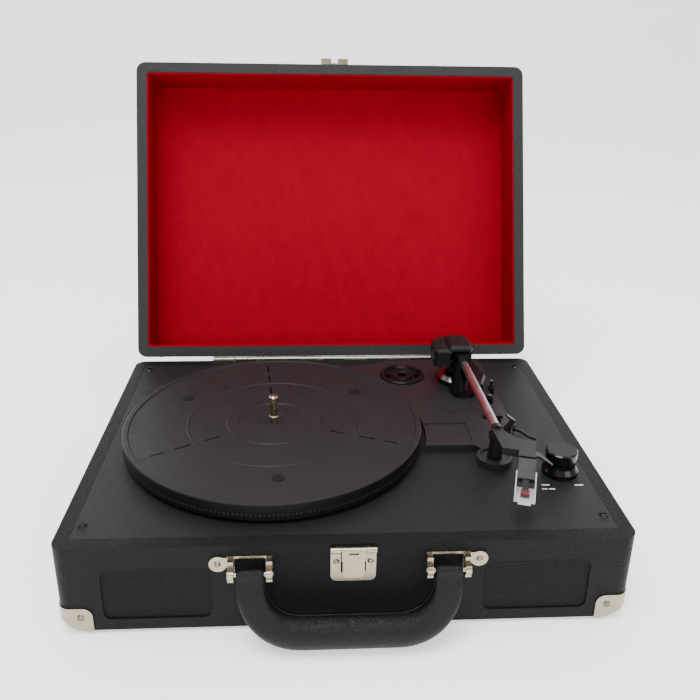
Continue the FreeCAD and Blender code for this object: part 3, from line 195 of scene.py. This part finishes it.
def metal(name, colour, low=0.16, high=0.3, dirt=0.82):
    """Plated or bare metal: slightly uneven gloss and tone over a faint ripple."""
    paint = Paint(name, colour, low, Metallic=1.0)
    paint.tint(paint.noise(420, 3), dirt, 1.06)
    paint.bump(paint.noise(320, 2), 0.00004, 0.25)
    paint.rough(paint.noise(120, 4), low, high)
    return paint.material


def plastic(name, colour, low=0.3, high=0.42, grain=2600, depth=0.00003, **sockets):
    """Moulded plastic: a fine spark-eroded texture and slightly uneven gloss."""
    paint = Paint(name, colour, low, **sockets)
    spark = paint.noise(grain, 2, 0.7)
    paint.bump(spark, depth, 0.5)
    paint.tint(paint.noise(60, 4), 0.75, 1.25)
    paint.rough(paint.noise(150, 4), low, high)
    return paint.material


def rubber(name, colour):
    paint = Paint(name, colour, 0.75, Specular_IOR_Level=0.2)
    paint.bump(paint.noise(1800, 4), 0.00008, 0.6)
    paint.tint(paint.noise(200, 4), 0.7, 1.3)
    paint.rough(paint.noise(400, 3), 0.62, 0.85)
    return paint.material


def perforated(name, colour):
    """Fine punched sheet: staggered round holes, darker inside, on rows that run at a slant."""
    paint = Paint(name, colour, 0.42, Specular_IOR_Level=0.1)
    grid = paint.stretched(620, 1, 620, (0, 45, 0))
    hole = paint.cells(1, "F1", 0, grid)
    inside = paint.span(hole, 0.26, 0.4, 0, 1)
    paint.bump(inside, 0.0004, 1)
    paint.link(paint.mix(inside, (0.001, 0.001, 0.001), colour), paint.shader.inputs["Base Color"])
    paint.rough(paint.noise(200), 0.35, 0.5)
    return paint.material


def platter_finish(name, colour):
    """Moulded platter: fine turned rings on top, and a row of small raised ribs round the rim; the rim's side
    is painted darker as painted shade and the ribs lighter as painted highlights.
    """
    paint = Paint(name, colour, 0.5, Specular_IOR_Level=0.2)
    parts = paint.add("ShaderNodeSeparateXYZ")
    paint.link(paint.place, parts.inputs[0])
    x = paint.math("SUBTRACT", parts.outputs[0], PLATTER[0] * MM)
    y = paint.math("SUBTRACT", parts.outputs[1], PLATTER[1] * MM)
    angle = paint.math("ARCTAN2", y, x)
    radius = paint.math("SQRT", paint.math("ADD", paint.math("MULTIPLY", x, x), paint.math("MULTIPLY", y, y)))
    rings = paint.math("SINE", paint.math("MULTIPLY", radius, 2 * math.pi / 0.0012))
    on_rim = paint.math("GREATER_THAN", radius, PLATTER_TOP_RADIUS * MM)
    rib = paint.span(paint.math("SINE", paint.math("MULTIPLY", angle, 240)), -0.1, 0.5, 0, 1)
    level = parts.outputs[2]
    band = paint.math("MULTIPLY", paint.math("GREATER_THAN", level, (DECK + RIB_LOW) * MM),
                      paint.math("LESS_THAN", level, (DECK + RIB_HIGH) * MM))
    ribs = paint.math("MULTIPLY", on_rim, paint.math("MULTIPLY", rib, band))
    fine = paint.noise(1400, 3)
    height = paint.math("MULTIPLY_ADD", fine, 0.35, paint.math("MULTIPLY", rings, 0.12))
    first = paint.bump(height, 0.00006, 0.5)
    paint.bump(ribs, 0.0006, 1, first)
    # The rim's side gets a quarter of the top's colour, a painted shade, and the ribs on it over twice the
    # top's colour, a painted highlight; dark and light are random tone.
    dark, light, rim, raised = (tuple(part * factor for part in colour) for factor in (0.8, 1.2, 0.25, 2.2))
    sided = paint.mix(on_rim, paint.mix(paint.noise(40, 4), dark, light), rim)
    paint.link(paint.mix(ribs, sided, raised), paint.shader.inputs["Base Color"])
    paint.rough(paint.noise(90, 4), 0.42, 0.55)
    return paint.material


def board(name, colour):
    """Fibreboard with a faint fibrous fleck."""
    paint = Paint(name, colour, 0.85)
    fleck = paint.noise(420, 5, 0.7, paint.stretched(1, 0.4, 1))
    paint.bump(fleck, 0.0001, 0.5)
    paint.tint(fleck, 0.7, 1.2)
    paint.rough(fleck, 0.75, 0.95)
    return paint.material


FINISH = {
    "leatherette": leatherette("vinyl_case", (0.0052, 0.0052, 0.0058), gloss=0.105),
    "deck": leatherette("vinyl_deck", (0.0072, 0.0072, 0.0078), 760, 0.00014, 0.42, 0.58, 0.2),
    "lid_leatherette": leatherette("vinyl_lid", (0.0165, 0.0156, 0.0162), gloss=0.24),
    "padding": leatherette("vinyl_handle", (0.003, 0.003, 0.0036), 700, 0.00022, 0.42, 0.5, 0.2),
    "felt": felt("red_felt", (0.235, 0.0005, 0.0098)),
    "nickel": metal("nickel", (0.37, 0.32, 0.235), 0.2, 0.32),
    "steel": metal("steel", (0.27, 0.255, 0.22), 0.24, 0.38),
    # The tube's pink tint stands for the red lid reflected in the polished tube: painted reflection.
    "chrome": metal("tube_painted_reflection", (0.48, 0.34, 0.35), 0.29, 0.37, 0.9),
    "brass": metal("brass", (0.6, 0.43, 0.18), 0.25, 0.4),
    "black_screw": metal("black_screw", (0.035, 0.035, 0.036), 0.3, 0.42),
    "black_plastic": plastic("black_plastic", (0.0045, 0.0045, 0.0048), Specular_IOR_Level=0.22),
    "gloss_black": plastic("gloss_black", (0.0025, 0.0025, 0.0028), 0.12, 0.2, 900, 0.00001,
                           Specular_IOR_Level=0.45),
    "satin_black": plastic("satin_black", (0.007, 0.007, 0.0075), 0.34, 0.44, 1400, 0.00002,
                           Specular_IOR_Level=0.25),
    "plate_black": plastic("plate_black", (0.0125, 0.0125, 0.0135), 0.34, 0.44, 1400, 0.00002,
                           Specular_IOR_Level=0.3),
    "rubber": rubber("rubber", (0.003, 0.003, 0.003)),
    "red_plastic": plastic("red_plastic", (0.085, 0.0008, 0.0012), 0.25, 0.35),
    "clear_plastic": plastic("milky_plastic", (0.5, 0.46, 0.48), 0.22, 0.32, 2200, 0.00001,
                             Transmission_Weight=0.25),
    "circuit": plastic("circuit_board", (0.012, 0.1, 0.035), 0.3, 0.45),
    "mesh": perforated("punched_sheet", (0.0056, 0.0056, 0.0062)),
    "platter_metal": platter_finish("platter", (0.0105, 0.0102, 0.0112)),
    "board": board("fibreboard", (0.022, 0.02, 0.018)),
    "white_print": plastic("white_print", (0.6, 0.6, 0.59), 0.5, 0.6),
    # A pale grey for the painted highlights on the switch levers.
    "painted_highlight_grey": plastic("painted_highlight_grey", (0.09, 0.09, 0.092), 0.3, 0.4),
    "hood_black": plastic("hood_black", (0.0085, 0.0082, 0.0084), 0.36, 0.44, Specular_IOR_Level=0.17),
}
OWN_FINISH = {"deck_panel": "deck", "tonearm_tube": "chrome", "stylus_guard": "clear_plastic",
              "mechanism_plate": "plate_black", "motor_pulley": "brass", "finger_lift": "gloss_black",
              "pivot_ring": "steel", "pivot_housing": "hood_black", "cartridge": "satin_black",
              "headshell": "satin_black", "volume_knob": "gloss_black"}


def dress(obj, finish):
    obj.data.materials.clear()
    obj.data.materials.append(FINISH[finish])


for row in frame["record"]["subparts"]:
    name = row["node"]
    dress(nodes[name], OWN_FINISH.get(name, row["material_slot"]))


# ---- new pieces ----

def piece(name, points, faces, body, finish, slot, smooth=True, replaces=()):
    """A mesh from points in mm, which rides on a body."""
    mesh = bpy.data.meshes.new(name)
    mesh.from_pydata([Vector(point) * MM for point in points], [], faces)
    mesh.validate()
    build = bmesh.new()
    build.from_mesh(mesh)
    bmesh.ops.remove_doubles(build, verts=build.verts, dist=1e-6)
    bmesh.ops.recalc_face_normals(build, faces=build.faces)
    build.to_mesh(mesh)
    build.free()
    obj = bpy.data.objects.new(name, mesh)
    bpy.context.scene.collection.objects.link(obj)
    for polygon in mesh.polygons:
        polygon.use_smooth = smooth
    dress(obj, finish)
    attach(obj, body)
    if replaces:
        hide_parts(*replaces)
    return obj


def lofted(sections):
    """Points and faces of a closed skin over rings that all have the same number of points."""
    points = [point for ring in sections for point in ring]
    count = len(sections[0])
    faces = []
    for row in range(len(sections) - 1):
        for step in range(count):
            after = (step + 1) % count
            faces.append((row * count + step, row * count + after,
                          (row + 1) * count + after, (row + 1) * count + step))
    faces.append(tuple(range(count))[::-1])
    faces.append(tuple(range((len(sections) - 1) * count, len(points))))
    return points, faces


def ease(value, low, high):
    share = min(1, max(0, (value - low) / (high - low)))
    return share * share * (3 - 2 * share)


def handle():
    """A padded bail: flat straps that loop round the pins, swell through the bends and join a round grip."""
    pin = Vector(HANDLE_PIN)
    tilt = Matrix.Rotation(math.radians(-15.5), 3, "X")
    reach, bend, drop = 59.6, 30.0, 36.6
    path = []
    for step in range(7):
        path.append((reach, -3.4 + (drop - bend + 3.4) * step / 6, 0.0))
    for step in range(1, 17):
        angle = math.radians(90 * step / 16)
        path.append((reach - bend + bend * math.cos(angle), drop - bend + bend * math.sin(angle),
                     math.degrees(angle)))
    for step in range(1, 13):
        path.append(((reach - bend) * (1 - step / 12), drop, 90.0))
    path += [(-x, down, 180 - turn) for x, down, turn in path[-2::-1]]
    rings, inner = [], []
    count = 28
    for x, down, turn in path:
        share = ease(min(turn, 180 - turn), 0, 78)
        near_pin = ease(down, 2, 12)
        across = 8.4 + 0.3 * near_pin + 1.6 * share
        deep = 3.4 + 1.6 * near_pin + 5.6 * share
        if down < 0:
            deep = max(0.8, math.sqrt(max(0.2, 3.9 ** 2 - down ** 2)))
        power = 2 / (4.5 - 2.4 * share)
        side = Vector((math.cos(math.radians(turn)), 0, -math.sin(math.radians(turn))))
        centre = Vector((x, 0, -down))
        ring = []
        for step in range(count):
            angle = 2 * math.pi * step / count
            cos, sin = math.cos(angle), math.sin(angle)
            u = across * math.copysign(abs(cos) ** power, cos)
            v = deep * math.copysign(abs(sin) ** power, sin)
            ring.append(pin + tilt @ (centre + side * u + Vector((0, v, 0))))
        rings.append(ring)
        if down > 3:
            inner.append(pin + tilt @ (centre - side * (across - 0.1)))
    grip = piece("handle_padded", *lofted(rings), "handle", "padding", "padding", replaces=("handle_grip",))
    smoother = grip.modifiers.new("smooth", "SUBSURF")
    smoother.levels = smoother.render_levels = 1
    tube("handle_seam", inner, 0.55, "handle", "padding", "padding")


def circle_of(centre, radius, across, up, sides):
    turns = [2 * math.pi * step / sides for step in range(sides)]
    return [Vector(centre) + radius * (math.cos(turn) * across + math.sin(turn) * up) for turn in turns]


def tube(name, route, radius, body, finish, slot, sides=10):
    """A round bar along points, with parallel rings."""
    rings = []
    for number, point in enumerate(route):
        before, after = route[max(0, number - 1)], route[min(len(route) - 1, number + 1)]
        along = (Vector(after) - Vector(before)).normalized()
        across = along.cross(Vector((0, 1, 0.01)) if abs(along.y) < 0.9 else Vector((1, 0, 0))).normalized()
        up = along.cross(across)
        rings.append(circle_of(point, radius, across, up, sides))
    return piece(name, *lofted(rings), body, finish, slot)


def loop(name, route, radius, body, finish, slot, sides=8):
    """A round bead along a closed route in a plane of constant y."""
    rings = []
    for number, point in enumerate(route):
        along = (Vector(route[(number + 1) % len(route)]) - Vector(route[number - 1])).normalized()
        across, out = Vector((0, 1, 0)), along.cross(Vector((0, 1, 0)))
        rings.append(circle_of(point, radius, across, out, sides))
    count = len(rings)
    points = [point for ring in rings for point in ring]
    faces = [(row * sides + step, row * sides + (step + 1) % sides,
              (row + 1) % count * sides + (step + 1) % sides, (row + 1) % count * sides + step)
             for row in range(count) for step in range(sides)]
    return piece(name, points, faces, body, finish, slot)


def prism_faces(count):
    """Two ends and the sides between them, for two outlines of count points one after the other."""
    faces = [tuple(range(count))[::-1], tuple(range(count, 2 * count))]
    for step in range(count):
        after = (step + 1) % count
        faces.append((step, after, count + after, count + step))
    return faces


def slab(name, outline, low, high, body, finish, slot):
    """A flat piece with an outline in x and y, between two heights."""
    points = [(x, y, level) for level in (low, high) for x, y in outline]
    return piece(name, points, prism_faces(len(outline)), body, finish, slot, smooth=False)


def printed_marks():
    """Short dashes that stand for the words at the knob's low and high ends."""
    marks = ((133.2, -75.9, 5.4), (132.2, -80.6, 3.6), (136.9, -80.8, 4.2), (155.7, -76.8, 6.0))
    for number, (x, y, wide) in enumerate(marks):
        outline = [(x, y), (x + wide, y), (x + wide, y + 1.2), (x, y + 1.2)]
        slab(f"knob_mark_{number}", outline, DECK + 0.01, DECK + 0.08, "base", "white_print", "black_plastic")


def knob_top():
    """The knob's flat top, which is duller than its polished side."""
    radius = 10.1
    turns = [math.radians(angle) for angle in range(0, 360, 6)]
    outline = [(KNOB[0] + radius * math.cos(turn), KNOB[1] + radius * math.sin(turn)) for turn in turns]
    slab("knob_top", outline, DECK + KNOB_RISE - 0.3, DECK + KNOB_RISE + 0.06, "knob", "hood_black",
         "black_plastic")


def switch_painted_highlights():
    """Pale tips on the two slide levers, which stand for the highlights on them: painted highlights."""
    for body, x, y, rise in (("speed_switch", 123.0, 41.0, 9.5), ("stop_switch", 127.9, 58.6, 14.0)):
        outline = [(x - 1.1, y - 1.3), (x + 1.1, y - 1.3), (x + 1.1, y + 1.3), (x - 1.1, y + 1.3)]
        slab(f"{body}_tip", outline, DECK + rise - 0.4, DECK + rise + 0.05, body, "painted_highlight_grey", "black_plastic")


def latch_painted_shadow():
    """A dark sheet on the latch plate behind the tongue and wider than it, which stands for the shadow in the
    gap round the tongue: painted shadow.
    """
    front, back, low, high, bend, half = -134.98, -134.7, 40.6, 58.6, 4.2, 7.7
    outline = [(LATCH_X - half, high), (LATCH_X + half, high)]
    for centre, start in ((LATCH_X + half - bend, 0), (LATCH_X - half + bend, -90)):
        for angle in range(start, start - 91, -15):
            outline.append((centre + bend * math.cos(math.radians(angle)),
                            low + bend + bend * math.sin(math.radians(angle))))
    points = [(x, y, z) for y in (front, back) for x, z in outline]
    piece("latch_painted_shadow", points, prism_faces(len(outline)), "base", "rubber", "nickel", smooth=False)


def grille_shadow_beads():
    """A thin dark bead round each speaker grille, which stands for the shadow in the recess round the grille:
    painted shadow.
    """
    wide, tall, bend = 33.0, 18.0, 5.0
    for side, name in ((-1, "left"), (1, "right")):
        route = []
        for x, z, start in ((wide - bend, tall - bend, 0), (bend - wide, tall - bend, 90),
                            (bend - wide, bend - tall, 180), (wide - bend, bend - tall, 270)):
            for angle in range(start, start + 91, 15):
                route.append((side * GRILLE_X + x + bend * math.cos(math.radians(angle)), FRONT + 0.25,
                              GRILLE_Z + z + bend * math.sin(math.radians(angle))))
        loop(f"grille_shadow_bead_{name}", route, 0.55, "base", "rubber", "rubber")


handle()
printed_marks()
knob_top()
switch_painted_highlights()
latch_painted_shadow()
grille_shadow_beads()


# ---- camera, floor and light ----

def camera():
    data = bpy.data.cameras.new("camera")
    data.sensor_width = 36
    focal, centre_x, centre_y, image = 782.718, 351.076, 324.706, 700
    data.lens = focal / image * data.sensor_width
    data.shift_x = (image / 2 - centre_x) / image
    data.shift_y = (centre_y - image / 2) / image
    data.clip_start, data.clip_end = 0.01, 50
    obj = bpy.data.objects.new("camera", data)
    bpy.context.scene.collection.objects.link(obj)
    turn = Matrix.Identity(3)
    for axis, angle in (("Z", -3.5668), ("X", -21.7131), ("Y", -0.9865), ("X", 90)):
        turn = turn @ Matrix.Rotation(math.radians(angle), 3, axis)
    obj.matrix_world = Matrix.Translation(Vector((-25.712, -519.811, 358.149)) * MM) @ turn.to_4x4()
    bpy.context.scene.camera = obj


def studio():
    """A floor that curves up behind the object, in one pale sheet."""
    reach, start, bend, top = 20.0, 1.6, 1.2, 6.0
    profile = [(-reach, 0.0), (start, 0.0)]
    profile += [(start + bend * math.sin(math.radians(angle)), bend - bend * math.cos(math.radians(angle)))
                for angle in range(10, 91, 10)]
    profile.append((start + bend, top))
    points = [(x, y, z) for y, z in profile for x in (-reach, reach)]
    faces = [(2 * n, 2 * n + 1, 2 * n + 3, 2 * n + 2) for n in range(len(profile) - 1)]
    mesh = bpy.data.meshes.new("studio_floor")
    mesh.from_pydata(points, [], faces)
    floor = bpy.data.objects.new("studio_floor", mesh)
    bpy.context.scene.collection.objects.link(floor)
    for polygon in mesh.polygons:
        polygon.use_smooth = True
    paint = Paint("studio_white", (0.95, 0.95, 0.95), 0.95, Specular_IOR_Level=0.0, Emission_Strength=0.8)
    paint.shader.inputs["Emission Color"].default_value = (1, 1, 1, 1)
    paint.tint(paint.noise(2, 2), 0.995, 1.005)
    mesh.materials.append(paint.material)


def area(name, place, aim, wide, tall, power):
    data = bpy.data.lights.new(name, "AREA")
    data.shape, data.size, data.size_y, data.energy = "RECTANGLE", wide, tall, power
    obj = bpy.data.objects.new(name, data)
    bpy.context.scene.collection.objects.link(obj)
    obj.location = place
    obj.rotation_euler = (Vector(aim) - Vector(place)).to_track_quat("-Z", "Y").to_euler()


def lights():
    world = bpy.data.worlds.new("studio_world")
    world.use_nodes = True
    sky = world.node_tree.nodes["Background"]
    sky.inputs["Color"].default_value = (1, 1, 1, 1)
    sky.inputs["Strength"].default_value = 0.52
    bpy.context.scene.world = world
    area("key", (-0.45, -0.65, 2.1), (0, 0, 0.1), 1.3, 1.0, 44)
    area("top", (0.1, 0.15, 2.4), (0, 0.0, 0), 1.6, 1.4, 36)
    area("front", (0, -2.4, 0.75), (0, 0.2, 0.25), 2.2, 0.8, 26)
    area("fill", (1.2, -1.2, 1.2), (0, 0, 0.1), 1.0, 1.0, 8)


camera()
studio()
lights()
